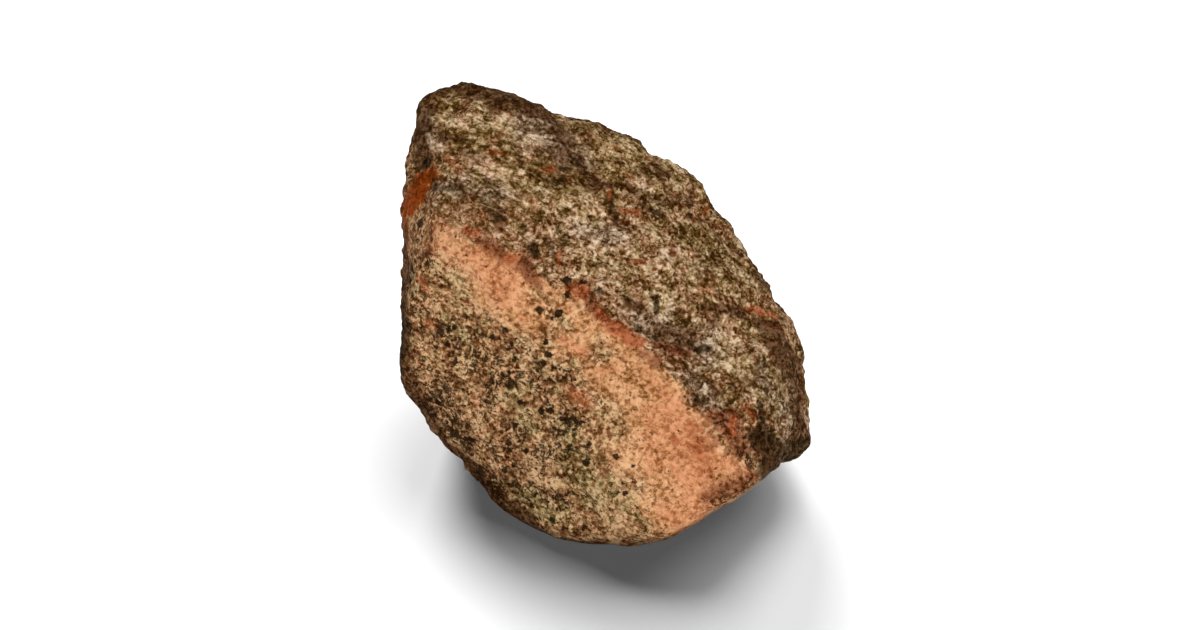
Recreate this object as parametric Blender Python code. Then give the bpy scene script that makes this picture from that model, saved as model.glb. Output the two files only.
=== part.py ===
"""A stony meteorite: one rough, broken stone, about 102 mm across, that lies on its worn base.

The stone is described square-on to its show side, the two big faces that meet in a long ridge:
a smooth broken face below it, and the coarse outer crust above it. That side leans back, so its
outward direction is SHOW_RISE above the horizon. A way out of the stone's heart is given by its
bearing, in degrees anticlockwise from the right, and by its lift, in degrees out of the show
plane. A place on a side's skin is given by its distances right and up from the heart.

+Z is up, -Y is the front, and the origin is on the floor under the middle of the stone.
"""

import math
from typing import NamedTuple

import bmesh
import bpy
from mathutils import Vector, noise

# Driving dimensions, in metres and degrees.
MM = 0.001
SHOW_RISE = math.radians(50)
HEART = Vector((0, 6.3, 33)) * MM
BASE_WEAR = 1.2 * MM
CALM_HEIGHT = 6 * MM
CALM_SHARE = 0.3
CRUST_FADE = 4 * MM

# The break ends where the skin turns this far from facing the show side, and a side's relief fades
# out as far beyond its outline. Each is the cosine of the angle between the skin and the side.
BREAK_FACING = 0.5
RELIEF_FACING = 1 / 3

# How the stone is made: the ball's rows, the triangles kept of it, and how sharp its edges are.
BALL_ROWS = 72
KEPT_TRIANGLES = 9600
EDGE_SHARPNESS = 46
CUTTER_SIZE = 0.3


class Side(NamedTuple):
    """One way of looking at the stone square-on."""

    right: Vector
    up: Vector
    out: Vector

    def place(self, point):
        """Where a point, given from the heart, is seen on this side."""
        return Vector((point.dot(self.right), point.dot(self.up)))


class Face(NamedTuple):
    """One broken face: the way it points, and its distance from the heart in millimetres."""

    bearing: float
    lift: float
    reach: float


class Edge(NamedTuple):
    """One edge of the show side's outline, where a near face and a far face meet.

    distance is how far the edge is from the heart and depth how far it is before it, in
    millimetres. near and far are how far the two faces lean back from the edge, in degrees.
    """

    bearing: float
    distance: float
    depth: float
    near: float
    far: float


class Relief(NamedTuple):
    """A groove between two places on a side, or a round hollow where they are the same.

    A place is (right, up) in millimetres. A negative depth makes a swelling.
    """

    start: tuple
    end: tuple
    width: float
    depth: float


class Roughness(NamedTuple):
    """Bumps of one size: their width, and their height on the break and on the crust, in millimetres.

    seed is where the pattern starts, so that no two sizes line up.
    """

    width: float
    on_break: float
    on_crust: float
    seed: tuple

    def height(self, point, crust):
        """How high this pattern stands at a point, in millimetres."""
        pattern = noise.noise(point / (self.width * MM) + Vector(self.seed))
        return pattern * (self.on_break + (self.on_crust - self.on_break) * crust)


SHOW = Side(
    Vector((1, 0, 0)),
    Vector((0, math.sin(SHOW_RISE), math.cos(SHOW_RISE))),
    Vector((0, -math.cos(SHOW_RISE), math.sin(SHOW_RISE))),
)
BACK = Side(Vector((1, 0, 0)), Vector((0, 0, 1)), Vector((0, 1, 0)))

# The ridge between the break and the crust bends once. For each of its two stretches on the show
# side: the bearing at which it faces the crust, and how far it is from the heart that way, in mm.
RIDGE = ((58, -0.8), (45.3, 1.35))

BREAK_FACES = (
    Face(233, 72, 32.6),
    Face(222, 52, 33.8),
)
CRUST_FACES = (
    Face(61.5, 65, 30.5),
    Face(40.6, 62, 31.3),
    Face(45, 42, 32.3),
    Face(110, 62, 42.3),
    Face(10, 50, 41.3),
)
HIDDEN_FACES = (
    Face(90, -62, 37),
    Face(150, -55, 36),
    Face(30, -50, 35),
    Face(205, -60, 40),
    Face(335, -60, 38),
)
OUTLINE = (
    Edge(6, 47.8, 2, 20, 25),
    Edge(34, 37.8, 4, 12, 30),
    Edge(57, 40.8, 6, 14, 28),
    Edge(70, 44.6, 8, 20, 25),
    Edge(90, 58.2, 8, 25, 30),
    Edge(135, 69.8, 10, 20, 35),
    Edge(170, 55.0, 8, 28, 30),
    Edge(180, 51.2, 4, 14, 25),
    Edge(219, 52.4, -2, 32, 24),
    Edge(243, 57.2, 0, 24, 22),
    Edge(270, 57.5, 2, 8, 49),
    Edge(304, 55.9, 3, 6, 35),
    Edge(332, 61.3, 2, 10, 30),
)

SHOW_RELIEF = {
    "valley below the crown": Relief((-13, 51), (6, 21), 5.5, 2.2),
    "notch in the shoulder": Relief((13, 42), (9, 33), 3.5, 1.0),
    "bump on the top edge": Relief((-1, 46), (-1, 46), 4.0, -1.0),
    "bump on the shoulder": Relief((20, 37), (23, 33), 4.0, -1.2),
    "bump on the upper right edge": Relief((33, 18), (31, 24), 4.0, -0.9),
    "dusky valley, inner end": Relief((9, -4), (24, -7), 4.0, 1.3),
    "dusky valley, outer end": Relief((24, -7), (41, 1), 4.5, 1.4),
    "lobe at the right": Relief((35, -13), (37, -16), 6.5, -1.2),
    "foot of the ridge": Relief((25, -20), (40, -35), 3.5, 1.0),
    "red scar, lower": Relief((-6, 7), (11, -8), 2.4, 1.0),
    "red scar, upper": Relief((-32, 20), (-19, 12), 3.0, 0.8),
    "bump on the crown's edge": Relief((-49, 35), (-49, 35), 4.0, -0.8),
    "bump on the left edge": Relief((-51, 26), (-51, 26), 4.0, -1.0),
    "waist of the left edge": Relief((-51, 9), (-51, 13), 4.5, 1.1),
    "bump on the lower left edge": Relief((-50, -16), (-49, -13), 4.0, -0.9),
    "nick in the lower left edge": Relief((-31, -43), (-35, -39), 3.5, 0.9),
    "nick in the bottom edge": Relief((28, -48), (28, -48), 3.5, 1.1),
    "nick in the lower right edge": Relief((40, -40), (40, -40), 3.5, 0.9),
    "dent in the break": Relief((-22, -8), (-14, -14), 9.0, 0.6),
    "swell along the ridge": Relief((-30, 12), (20, -24), 8.0, -0.5),
}
BACK_RELIEF = {
    "scoop under the crown": Relief((-24, 12), (-18, 18), 10.0, 2.4),
    "scoop in the middle": Relief((3, -4), (9, 2), 9.0, 2.0),
    "scoop at the low end": Relief((30, -6), (33, -2), 8.0, 1.6),
    "step across the back": Relief((-34, -12), (2, -20), 4.5, 1.2),
}

ROUGHNESS = (
    Roughness(26, 0.8, 0.8, (4, 4, 4)),
    Roughness(10, 0.4, 0.9, (7, 3, 1)),
    Roughness(4.5, 0.15, 0.7, (2, 9, 4)),
)
PIT_SPACING = 8 * MM
PIT_DEPTH = 1.0 * MM
PIT_MIDDLE = 0.4


def show_vector(bearing, lift):
    """The unit vector that points that way from the heart, in the part's own axes."""
    turn = math.radians(bearing)
    rise = math.radians(lift)
    in_plane = SHOW.right * math.cos(turn) + SHOW.up * math.sin(turn)
    return in_plane * math.cos(rise) + SHOW.out * math.sin(rise)


def outline_faces(edge):
    """The near and the far face that meet in an edge of the outline."""
    faces = []
    for lift in (edge.near, -edge.far):
        tilt = math.radians(lift)
        reach = edge.distance * math.cos(tilt) + edge.depth * math.sin(tilt)
        faces.append(Face(edge.bearing, lift, reach))
    return faces


def all_faces():
    """(outward normal, reach in metres) of every face of the stone."""
    faces = [*BREAK_FACES, *CRUST_FACES, *HIDDEN_FACES]
    for edge in OUTLINE:
        faces += outline_faces(edge)
    made = [(show_vector(face.bearing, face.lift), face.reach * MM) for face in faces]
    made.append((Vector((0, 0, -1)), HEART.z + BASE_WEAR))
    return made


def faceted_radius(direction, faces):
    """How far the skin is from the heart that way, with the edges between faces worn round."""
    total = sum(max(0.0, normal.dot(direction) / reach) ** EDGE_SHARPNESS for normal, reach in faces)
    return total ** (-1 / EDGE_SHARPNESS)


def smooth_step(value):
    """0 at and below 0, 1 at and above 1, and an even S-curve between."""
    share = min(1.0, max(0.0, value))
    return share * share * (3 - 2 * share)


def crust_share(point, normal):
    """1 where the outer crust is, and 0 on the smooth break, for a point given from the heart."""
    above_ridge = max(point.dot(show_vector(bearing, 0)) - reach * MM for bearing, reach in RIDGE)
    beyond = smooth_step(above_ridge / CRUST_FADE + 0.5)
    facing_away = 1 - smooth_step(normal.dot(SHOW.out) / BREAK_FACING)
    return max(beyond, facing_away)


def relief_depth(place, relief):
    """How far that relief sinks the skin at a place, in metres."""
    start, end = Vector(relief.start) * MM, Vector(relief.end) * MM
    run = end - start
    share = 0.0
    if run.length > 0:
        share = min(1.0, max(0.0, (place - start).dot(run) / run.length_squared))
    away = (place - start - run * share).length / (relief.width * MM)
    return relief.depth * MM * math.exp(-away * away)


def sunk_depth(point, normal, side, reliefs):
    """How far all the reliefs of one side sink the skin there, fading out where it turns away."""
    place = side.place(point)
    faces_us = smooth_step(normal.dot(side.out) / RELIEF_FACING + 1)
    return faces_us * sum(relief_depth(place, relief) for relief in reliefs.values())


def roughness_height(point, crust):
    """How far the weathered surface stands above the plain faces there, in metres."""
    bumps = sum(size.height(point, crust) for size in ROUGHNESS) * MM
    # Each cell of the pattern is a shallow pit, deepest at its own middle.
    from_pit = noise.voronoi(point / PIT_SPACING)[0][0]
    return bumps + (from_pit - PIT_MIDDLE) * PIT_DEPTH * crust


def ball():
    """A closed ball of near-square faces, as a bmesh of radius 1: a cut-up cube, pushed round."""
    mesh = bmesh.new()
    bmesh.ops.create_cube(mesh, size=2)
    bmesh.ops.subdivide_edges(mesh, edges=mesh.edges[:], cuts=BALL_ROWS - 1, use_grid_fill=True)
    for vertex in mesh.verts:
        # The tangent spaces the rows evenly by angle, not bunched at the cube's corners.
        vertex.co = Vector(math.tan(c * math.pi / 4) for c in vertex.co).normalized()
    return mesh


def stone_mesh():
    """The stone's fine mesh, in metres, before it is thinned out and cut off at the floor."""
    faces = all_faces()
    mesh = ball()
    for vertex in mesh.verts:
        vertex.co *= faceted_radius(vertex.co, faces)
    mesh.normal_update()

    heights = []
    for vertex in mesh.verts:
        point, normal = vertex.co, vertex.normal
        calm = CALM_SHARE + (1 - CALM_SHARE) * smooth_step((point.z + HEART.z) / CALM_HEIGHT)
        rough = roughness_height(point, crust_share(point, normal))
        shown = sunk_depth(point, normal, SHOW, SHOW_RELIEF)
        hidden = sunk_depth(point, normal, BACK, BACK_RELIEF)
        heights.append(rough * calm - shown - hidden)
    for vertex, height in zip(mesh.verts, heights):
        vertex.co += HEART + vertex.normal * height

    data = bpy.data.meshes.new("meteorite")
    mesh.to_mesh(data)
    mesh.free()
    return data


def thin_out(stone):
    """Merges the fine grid into few triangles, large on the plain faces and small in the relief."""
    thinning = stone.modifiers.new("thin out", "DECIMATE")
    thinning.ratio = KEPT_TRIANGLES / (2 * len(stone.data.polygons))


def floor_cutter():
    """A block whose top is the floor, to cut the stone off at."""
    bpy.ops.mesh.primitive_cube_add(size=CUTTER_SIZE, location=(0, 0, -CUTTER_SIZE / 2))
    cutter = bpy.context.active_object
    cutter.name = "floor_cutter"
    cutter.display_type = "WIRE"
    cutter.hide_render = True
    return cutter


def wear_base_flat(stone, cutter):
    """Cuts off what is below the floor, which leaves the flat patch that the stone rests on."""
    cut = stone.modifiers.new("worn base", "BOOLEAN")
    cut.operation = "DIFFERENCE"
    cut.object = cutter


def stone_material():
    """Weathered stone, between the pale break and the dark crust."""
    material = bpy.data.materials.new("stone")
    material.use_nodes = True
    shader = material.node_tree.nodes["Principled BSDF"]
    shader.inputs["Base Color"].default_value = (0.25, 0.15, 0.09, 1)
    shader.inputs["Roughness"].default_value = 0.75
    shader.inputs["Metallic"].default_value = 0.0
    return material


def new_collection(name, *objects):
    """A collection in the scene that holds these objects and takes them out of any other."""
    collection = bpy.data.collections.new(name)
    bpy.context.scene.collection.children.link(collection)
    for member in objects:
        for other in member.users_collection:
            other.objects.unlink(member)
        collection.objects.link(member)


def main():
    """Clears the scene and builds the stone."""
    for old in list(bpy.data.objects):
        bpy.data.objects.remove(old)
    stone = bpy.data.objects.new("meteorite", stone_mesh())
    stone.data.materials.append(stone_material())
    cutter = floor_cutter()
    new_collection("meteorite", stone)
    new_collection("cutters", cutter)
    thin_out(stone)
    wear_base_flat(stone, cutter)


main()
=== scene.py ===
"""The looks of the stony meteorite: its weathered skin and stains, on a pale studio floor.

A finer skin is grown on the stone's solid. The crust's grains, pits and ledges and the break's low
waves are real relief in it. One material covers it, and reads from the skin where the crust, the
break and each stain lie, and where shade is painted: round the rim, along the ridge and in the
low places of the crust's relief.

Places on the stone are given on its show side, the two big faces that lean back: millimetres to
the right of the stone's heart and up from it, as seen square-on.
"""

import logging
import math
from dataclasses import dataclass, field
from enum import Enum
from functools import cached_property

import bpy
import numpy as np
from mathutils import Matrix, Vector, noise


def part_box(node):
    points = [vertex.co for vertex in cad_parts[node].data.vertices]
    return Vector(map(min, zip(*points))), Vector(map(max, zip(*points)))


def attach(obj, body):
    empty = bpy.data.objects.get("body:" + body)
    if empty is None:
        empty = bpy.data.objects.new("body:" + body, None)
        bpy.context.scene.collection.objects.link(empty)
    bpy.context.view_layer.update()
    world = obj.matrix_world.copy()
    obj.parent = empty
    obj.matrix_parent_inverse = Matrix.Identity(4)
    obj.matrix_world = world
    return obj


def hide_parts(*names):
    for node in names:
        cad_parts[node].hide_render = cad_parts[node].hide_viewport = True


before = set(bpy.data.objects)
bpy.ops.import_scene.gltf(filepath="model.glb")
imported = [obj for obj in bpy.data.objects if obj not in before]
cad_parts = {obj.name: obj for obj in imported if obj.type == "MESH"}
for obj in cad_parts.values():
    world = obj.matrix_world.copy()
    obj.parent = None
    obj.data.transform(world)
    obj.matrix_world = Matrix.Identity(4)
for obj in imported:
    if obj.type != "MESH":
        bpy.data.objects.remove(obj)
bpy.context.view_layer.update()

MM = 0.001
RGB = tuple[float, float, float]
Place = tuple[float, float]
RISE = math.radians(50)  # how far above level the show side faces
LEAN = math.radians(-24)  # the way that the crust's grain runs down to the right
HEART_BACK = 6.3 * MM  # from the middle of the stone's box
HEART_HEIGHT = 33 * MM  # above the floor

log = logging.getLogger("meteorite")


# ---------------------------------------------------------------- reading places on the stone


def ease(values: np.ndarray, low: float, high: float) -> np.ndarray:
    """An even S-curve from 0 to 1.

    Args:
        values: the numbers to ease.
        low: where the curve leaves 0.
        high: where the curve reaches 1.

    Returns:
        One share for each value.
    """
    share = np.clip((values - low) / (high - low), 0, 1)
    return share * share * (3 - 2 * share)


@dataclass(frozen=True)
class ShowSide:
    """The side that the stone is shown from."""

    heart: Vector
    rise: float = RISE

    @property
    def axes(self) -> np.ndarray:
        """The side's right, up and outward directions, one to a row."""
        sine, cosine = math.sin(self.rise), math.cos(self.rise)
        return np.array([[1, 0, 0], [0, sine, cosine], [0, -cosine, sine]])

    @property
    def out(self) -> Vector:
        """The way that the side faces."""
        return Vector(self.axes[2])

    def read(self, points: np.ndarray) -> np.ndarray:
        """Where points are on the side.

        Args:
            points: places in the part's own axes, in metres, one to a row.

        Returns:
            Millimetres right, up and out from the heart, one place to a row.
        """
        return (points - np.array(self.heart)) @ self.axes.T / MM


@dataclass(frozen=True)
class Bumps:
    """A random pattern of rounded bumps, the same on every run.

    width is the bumps' width in millimetres, stretch is how much longer they are to the right, up
    and outward, and seed sets one pattern apart from the next.
    """

    width: float
    seed: float
    stretch: tuple[float, float, float] = (1, 1, 1)

    def at(self, seen: np.ndarray) -> np.ndarray:
        """The pattern's height at places on the show side.

        Args:
            seen: millimetres right, up and out from the heart, one place to a row.

        Returns:
            One height for each place, from about -1 to 1.
        """
        places = seen / (self.width * np.array(self.stretch)) + self.seed
        return np.array([noise.noise(place) for place in places.tolist()])


@dataclass(frozen=True)
class Cells:
    """A random pattern of packed grains, the same on every run. width is a grain's, in mm."""

    width: float
    seed: float

    def at(self, seen: np.ndarray) -> tuple[np.ndarray, np.ndarray]:
        """How far places are from the middles of the two grains nearest to them.

        Args:
            seen: millimetres right, up and out from the heart, one place to a row.

        Returns:
            The distance to the nearest middle and to the next one, as shares of a grain's width.
        """
        places = seen / self.width + self.seed
        near = np.array([noise.voronoi(place)[0][:2] for place in places.tolist()])
        return near[:, 0], near[:, 1]


# ---------------------------------------------------------------- what lies where


class Ground(Enum):
    """What a patch of the stone is like. The value names its layer on the skin."""

    CRUST = "crust"  # the weathered crust, where the rest is the break
    GRIT = "grit"  # the break's gritty part
    SPECKS = "specks"  # where its dark specks crowd
    CLEAN = "clean"  # where it has few of them
    CROWN = "crown"  # the crust's upper left, drawn out in fibres
    BRINK = "brink"  # the crust just past the ridge
    SPOTS = "spots"  # the largest black specks
    # painted shade: where this is high, the crust's colour is darkened
    PAINTED_HOLLOW_SHADE = "painted_hollow_shade"  # the low places of the relief


class Stain(Enum):
    """What has coloured a patch of the stone, or the shade painted on it. The value names its layer on
    the skin.
    """

    RUST = "stain_rust"
    OCHRE = "stain_ochre"
    SOOT = "stain_soot"
    # a brown stain in places, and painted shade along the rims and in the ridge's valley
    BROWN_AND_PAINTED_SHADE = "stain_brown_and_painted_shade"
    ASH = "stain_ash"
    CHALK = "stain_chalk"
    OLIVE = "stain_olive"
    PEPPER = "stain_pepper"
    BRICK = "stain_brick"
    BLUSH = "stain_blush"


@dataclass(frozen=True)
class Mark:
    """A stain or painted shade on the show side: a band between two places, or a round patch where they
    are one.

    Places and width are in millimetres, and strength is how full the mark is at its middle.
    """

    start: Place
    end: Place
    width: float
    strength: float = 1.0

    def share(self, places: np.ndarray, start: np.ndarray, end: np.ndarray) -> np.ndarray:
        """How much of the mark, stain or painted shade, is at places on the stone.

        Args:
            places: the places, one to a row.
            start: where the band starts on the stone.
            end: where it ends.

        Returns:
            One share for each place, from 0 to the mark's strength.
        """
        run = end - start
        offset = places - start
        length = max(run @ run, 1e-9)
        along = np.clip(offset @ run / length, 0, 1)
        away = np.linalg.norm(offset - along[:, None] * run, axis=1) / self.width
        return self.strength * np.exp(-away**2)


MARKS: dict[Stain, tuple[Mark, ...]] = {
    Stain.RUST: (
        # The worn ledge under the ridge, from the left end down to the right.
        Mark((-33, 20.6), (-31, 19.8), 1.3, 1.2), Mark((-22.8, 14), (-21.4, 13.6), 1.2, 1.1),
        Mark((-7.4, 6.2), (-5, 5.8), 1.7, 1.5), Mark((-1.4, 0.4), (0.8, -3), 1.4, 1.1),
        Mark((3, -3.2), (7.4, -6.8), 1.8, 1.2),
        # On the crown.
        Mark((-38, 38), (-35, 35), 1.4, 0.6), Mark((-28, 39.3), (-25, 39), 0.8, 0.8),
        Mark((-15, 35), (-12, 35.5), 0.8, 0.8), Mark((-17.5, 27.5), (-16.5, 26), 1.2, 0.5),
        Mark((-11, 15), (-11, 12), 0.8, 0.9), Mark((-26, 18), (-22, 24), 2.5, 0.3),
        # On the long slope of the crust.
        Mark((4, 25.6), (8.3, 25), 1.0, 0.8), Mark((1, 41), (4, 41.6), 1.0, 0.5),
        Mark((0.3, 30.6), (1, 29), 0.8, 0.7), Mark((6, 13), (9, 12.4), 1.0, 0.7),
        Mark((22, 24), (25.5, 26.5), 1.4, 0.5), Mark((23, 6.4), (25.5, 5.8), 1.1, 0.6),
        Mark((36, 2), (42, -1), 1.2, 0.8),
        # On the break.
        Mark((21, -25.6), (24.4, -37), 3.2, 0.6), Mark((16.3, -29.5), (17.3, -30.3), 0.9),
        Mark((20, -31), (23, -32), 0.9, 0.6), Mark((30.6, -25), (30.8, -28), 1.3),
        Mark((34, -22), (35, -24.5), 1.3, 0.7), Mark((-6.6, -19), (-5.4, -19.4), 1.1, 0.6),
        Mark((-33, -19), (-31, -22), 1.8, 0.4), Mark((-25, -35), (-24, -37), 1.8, 0.35),
        Mark((-7, -46), (-4, -50), 2.4, 0.35),
    ),
    Stain.BRICK: (
        Mark((-29.5, 18), (-25, 14.6), 1.9), Mark((-24, 13), (-20, 11.6), 1.5, 0.6),
        Mark((-19, 12), (-16.4, 7.4), 1.9, 1.2), Mark((-23, 23), (-19, 14), 2.0, 0.25),
        Mark((-4.4, 5), (-1.8, 0.8), 1.7, 1.3), Mark((-5.6, 8.4), (-3.6, 7.6), 1.0, 0.8),
        Mark((0.6, -1.6), (4.8, -4), 1.2, 0.8), Mark((16, 17.5), (17, 14.6), 1.1, 0.7),
        Mark((12.6, -7.6), (20, -9), 1.6, 0.8), Mark((9, -9.6), (13, -11.4), 1.8, 0.7),
        Mark((14, -11.6), (22, -15), 2.0, 0.3), Mark((40, -2), (44, -5), 1.6, 0.8),
        # The grainy red-brown ground before the black foot.
        Mark((25, -24), (31, -25), 2.0), Mark((22.6, -26), (26.4, -31), 1.7, 0.6),
        Mark((29, -26.4), (33, -32), 3.2, 0.9), Mark((25.4, -43), (30, -41), 2.6),
        Mark((37.4, -30), (40, -38), 2.2, 1.4), Mark((29.5, -41.6), (35, -39), 2.2, 0.9),
        Mark((24, -44.5), (27, -42), 1.4, 0.5),
    ),
    Stain.BLUSH: (
        Mark((16, -24), (20, -34), 5.0), Mark((20, -35), (23, -46), 5.0, 0.9),
        Mark((26, -34), (33, -38), 3.0, 0.7), Mark((15, -48), (20, -52), 3.0, 0.8),
        Mark((11, -24), (11, -36), 3.6, 0.5), Mark((10, -13), (17, -22), 2.0, 0.6),
        Mark((-5, -14), (5, -12), 1.4, 0.5), Mark((-20.6, -0.6), (-20, -1.4), 1.2, 0.8),
        Mark((-10, -6), (-5, -9), 1.5, 0.9), Mark((-40, 18), (-22, 9), 6.0, 0.7),
        Mark((-27, 8), (-24, 3), 2.6, 0.6), Mark((-48.6, 22), (-48, 16), 1.6, 0.8),
        Mark((-44, -1), (-42.6, -2.6), 1.4, 0.8), Mark((-45, 9), (-43.6, 6), 1.4, 0.8),
        Mark((-8, -18), (-5, -21), 2.2, 0.7),
    ),
    Stain.OCHRE: (
        Mark((-42, 33.8), (-45, 32.4), 2.0, 1.6), Mark((-45.8, 29.8), (-47.6, 27), 2.6, 1.6),
        Mark((-49.4, 25), (-49, 21), 1.7, 0.5),
    ),
    Stain.SOOT: (
        Mark((-44, 37.6), (-43.6, 37.2), 1.5), Mark((-41, 33.4), (-41.4, 30), 0.8, 0.8),
        Mark((-41, 30.6), (-35, 31), 1.3, 0.7), Mark((-28, 26), (-24.5, 25.6), 1.2, 0.6),
        Mark((-25.5, 22.6), (-24.3, 23), 0.9, 0.8), Mark((-19.5, 21), (-18.8, 20.6), 1.0, 0.8),
        Mark((-17.2, 16.6), (-17, 14.6), 1.3, 1.1), Mark((-13.5, 17.5), (-12.5, 15), 1.3, 0.7),
        Mark((-12, 33), (-10.5, 32.3), 1.1, 0.8), Mark((-7.2, 38), (-6.2, 36.5), 1.0, 0.8),
        Mark((11.6, 25.6), (14, 24), 1.0), Mark((20.4, 24.6), (21, 23.6), 0.8, 0.8),
        Mark((-2, 5.8), (-0.8, 5.2), 0.9, 0.8), Mark((5.3, 3.6), (5.7, 3), 0.8, 0.7),
        Mark((11.6, 4.6), (12.4, 1), 0.8, 1.1), Mark((8.4, -4), (12.6, -6), 1.3, 0.7),
        Mark((22.8, -8), (24.4, -8), 1.1, 1.1), Mark((30, -16.6), (30.4, -17.6), 0.9, 0.8),
        Mark((21.4, -20.6), (22.8, -21.2), 1.3, 0.7), Mark((36.8, -21.6), (38.2, -25.2), 1.2, 1.1),
        # The next line's two marks darken the left rim: painted shade where it turns away, over its own
        # dark colour.
        Mark((-48.8, 8), (-48.6, -4), 1.5, 0.8), Mark((-50, -5), (-49.6, -14), 1.4, 0.7),
        Mark((-42.4, 20.5), (-41.6, 17.6), 1.0, 0.6),
        # The black foot of the right end: a dark colour, darkened further as painted shade where it faces
        # down.
        Mark((37.5, -29.6), (43, -33), 3.0, 1.4), Mark((40.5, -36), (50.5, -33.4), 3.2, 1.5),
        Mark((38, -37.6), (41, -38.8), 2.0, 1.2),
    ),
    Stain.BROWN_AND_PAINTED_SHADE: (
        # The smooth brown band over the top of the crown.
        Mark((-47, 53), (-45, 38.4), 2.2, 1.3), Mark((-43.5, 54.5), (-35, 57), 1.6, 0.9),
        Mark((-35, 56.4), (-20, 52.2), 2.8, 1.1), Mark((-22, 52), (-14.5, 49.6), 2.2, 1.1),
        Mark((-14.5, 49), (-10, 43), 1.5, 0.9), Mark((-19, 45.2), (-12, 44.2), 0.8, 0.7),
        Mark((-40, 43.6), (-32, 42.2), 0.8, 0.8), Mark((-44, 46.8), (-36, 42), 1.1, 0.6),
        Mark((-16, 40), (-8, 38), 1.5, 0.8), Mark((-16, 33), (-11, 32.6), 0.9, 0.6),
        # The left and lower rims: painted shade where the stone turns away, over the rim's own brown.
        Mark((-49.6, 22), (-49.4, -14), 2.2, 1.6), Mark((-49.2, 4), (-48.6, -4), 1.9, 1.3),
        Mark((-50, -16), (-44, -27), 3.6, 1.4), Mark((-43, -29), (-28, -44), 2.6, 1.2),
        Mark((-27, -45), (-19, -51), 2.4, 1.2), Mark((-19, -53), (0, -57), 1.4, 0.9),
        Mark((-25, -40), (-22.6, -39.6), 1.8, 0.8), Mark((-46, 51), (-43, 50), 2.0, 0.9),
        Mark((-27, 51), (-16, 49.6), 2.2), Mark((-34, 39), (-30, 38), 1.6, 0.7),
        # The brown stripes of the long slope, and painted shade down the crown's valley.
        Mark((1.4, 29.5), (2.4, 22.5), 1.1, 1.1), Mark((-5, 32), (6, 31.4), 0.9, 0.9),
        Mark((-11, 45), (-6, 37), 2.6, 0.7), Mark((-6, 36), (-1, 31), 2.4, 0.5),
        Mark((6, 30), (18, 28), 2.0, 0.65), Mark((9, 34.6), (12, 37.6), 1.6, 0.7),
        Mark((20.6, 31), (20.8, 26), 1.0, 0.7), Mark((26, 21), (34, 14.6), 1.0, 0.7),
        Mark((22.5, 9.6), (27, 12.4), 1.3, 0.6), Mark((36.6, 8.6), (38.4, 7), 1.2, 0.8),
        Mark((24, 1.6), (33, 1), 1.4), Mark((9, 27), (11, 25.6), 1.4, 0.7),
        Mark((12.6, 34.6), (15, 34), 1.5, 0.9),
        # Painted shade in the valley and the dips along the ridge.
        Mark((-27, 24), (-25, 21), 1.8), Mark((-6.4, 2.6), (-5.6, 1.4), 1.6, 0.6),
        Mark((5.2, 2.6), (7.4, 1.6), 1.7, 1.1), Mark((12.6, -3), (20.6, -6), 2.9, 0.85),
        Mark((16, -7.8), (18.6, -8.4), 1.0), Mark((34.6, -16.4), (37.4, -15.2), 0.8, 0.7),
        Mark((24, -22), (29, -24.6), 1.5, 0.6), Mark((21, -19), (22, -21), 1.6, 0.4),
        Mark((25.4, -17), (27, -19), 1.6, 0.8), Mark((25, -2.6), (27, -1.4), 1.5, 0.8),
        # The right rim.
        Mark((37.4, -1.6), (39.6, -3), 1.6, 1.1), Mark((41, -5), (44.6, -12), 3.4, 1.5),
        Mark((46.6, -12), (47.6, -30), 3.0, 0.95),
    ),
    Stain.ASH: (
        Mark((-44, 48), (-42, 42), 3.0, 0.8), Mark((-42, 55), (-26, 53.6), 2.0, 0.3),
        Mark((-19, 46), (-7, 38), 4.0), Mark((-40, 31), (-24, 29), 3.0, 0.8),
        Mark((-9, 20), (3, 18), 4.0, 0.6), Mark((10, -2), (24, -8), 4.0),
        Mark((21, -16), (29, -22), 3.0, 0.8), Mark((38, -14), (46, -28), 4.0, 0.7),
    ),
    Stain.CHALK: (
        # Pale streaks of the crown.
        Mark((-31.6, 51.6), (-27, 51.4), 1.3), Mark((-40, 48.8), (-32, 46), 1.6, 1.1),
        Mark((-32.8, 46.5), (-32, 46.4), 0.9, 1.1), Mark((-25, 47.4), (-19, 44), 2.2, 1.5),
        Mark((-30, 46), (-23, 44.6), 1.0, 0.6), Mark((-43, 43), (-39, 39), 1.4),
        Mark((-20, 43.5), (-17, 42.2), 1.6), Mark((-33, 36), (-25, 36.6), 1.4, 0.5),
        Mark((-29, 34.2), (-20, 34), 1.3, 0.9), Mark((-36.8, 28.6), (-36.4, 28), 0.9, 0.8),
        Mark((-19, 26.4), (-17, 25.6), 1.6, 0.7), Mark((-8.6, 48), (-8, 47.6), 0.9, 0.8),
        Mark((-38, 46.4), (-24, 46), 1.9, 0.95), Mark((-38.6, 35), (-37, 34), 1.7),
        Mark((-31, 34), (-29, 33.4), 1.5, 0.9),
        # The pale middle of the crust.
        Mark((-23, 30.4), (-14, 28.4), 2.0, 0.7), Mark((-35.4, 23), (-33, 22), 1.6),
        Mark((-31, 18.6), (-18, 17.6), 1.7, 0.6), Mark((-12.5, 27), (-6.5, 25.4), 2.2, 1.2),
        Mark((-3, 28), (-1.8, 24.6), 1.6, 1.2), Mark((-8, 22), (-3, 19.6), 2.0, 0.4),
        Mark((-3, 16), (1, 14.6), 2.2, 0.6), Mark((3.8, 28.2), (5.4, 27), 0.9),
        Mark((4.6, 19), (8, 16), 1.6, 0.6), Mark((10.6, 21), (15, 14), 1.9, 1.3),
        Mark((14.6, 14), (16.4, 11), 1.5), Mark((12, 9), (13, 6), 1.1, 0.9),
        Mark((14.4, 4), (14.6, 0.6), 1.7, 1.4), Mark((-6.5, 10), (-1, 8), 1.6),
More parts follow.
